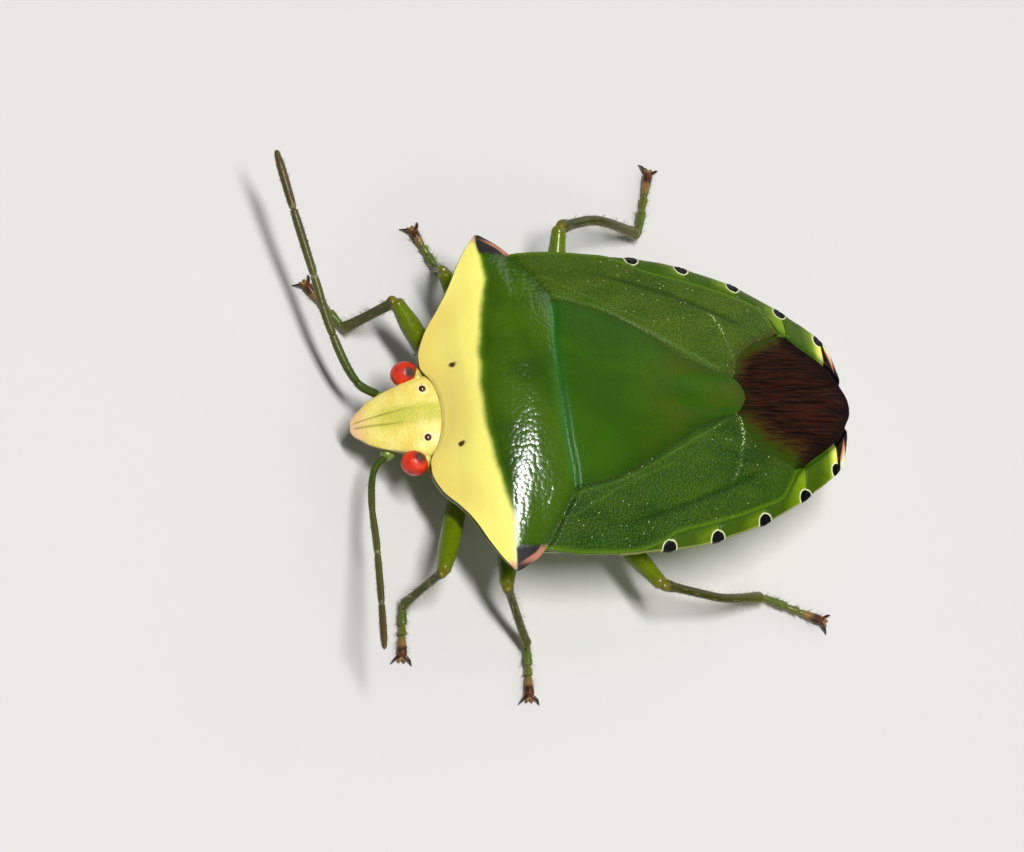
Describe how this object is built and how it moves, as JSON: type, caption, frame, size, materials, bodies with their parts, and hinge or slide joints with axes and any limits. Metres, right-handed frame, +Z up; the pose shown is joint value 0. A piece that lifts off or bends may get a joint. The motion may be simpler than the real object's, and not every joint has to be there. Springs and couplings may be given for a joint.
{
  "type": "shield bug",
  "caption": "Life-size still model of a green and yellow shield bug with pointed shoulders, dark wing membranes and a spotted rim, standing on bent legs.",
  "frame": {"origin": "on the floor under the middle of the bug's bounding box", "axes": "+Z up from the floor, +Y from head to tail, +X to the bug's left"},
  "size_m": [0.0228, 0.0226, 0.0062],
  "materials": {
    "yellow_cuticle": "pale yellow waxy cuticle, finely pitted, with dark fine grooves and a darker rim below",
    "shield_green": "glossy punctured cuticle, lemon yellow on the front crescent and shoulder spines, deep green behind",
    "wing_green": "satin leathery forewing, densely pitted with dark points, with fine raised veins",
    "membrane_brown": "dark red-brown wing membrane, finely wrinkled along its veins, softly glossy",
    "rim_lime": "smooth lime rim with a black spot ringed in cream at each segment end",
    "underside_green": "pale yellow-green glossy underside, finely pitted on the thorax",
    "leg_green": "glossy olive green legs, orange-brown at the joints and claws, with fine pale hairs",
    "antenna_olive": "dull green feelers that turn olive brown towards the tip, paler at each joint",
    "eye_red": "wet-looking orange-red compound eye with a dark grey patch"
  },
  "bodies": {
    "root": {"head": "yellow_cuticle", "eye_left": "eye_red", "eye_right": "eye_red", "rostrum": "leg_green", "antenna_left": "antenna_olive", "antenna_right": "antenna_olive", "pronotum": "shield_green", "scutellum": "shield_green", "corium_left": "wing_green", "corium_right": "wing_green", "membrane_left": "membrane_brown", "membrane_right": "membrane_brown", "connexivum_left": "rim_lime", "connexivum_right": "rim_lime", "thorax": "underside_green", "abdomen": "underside_green", "leg_front_left": "leg_green", "leg_front_right": "leg_green", "leg_mid_left": "leg_green", "leg_mid_right": "leg_green", "leg_hind_left": "leg_green", "leg_hind_right": "leg_green"}
  },
  "joints": []
}
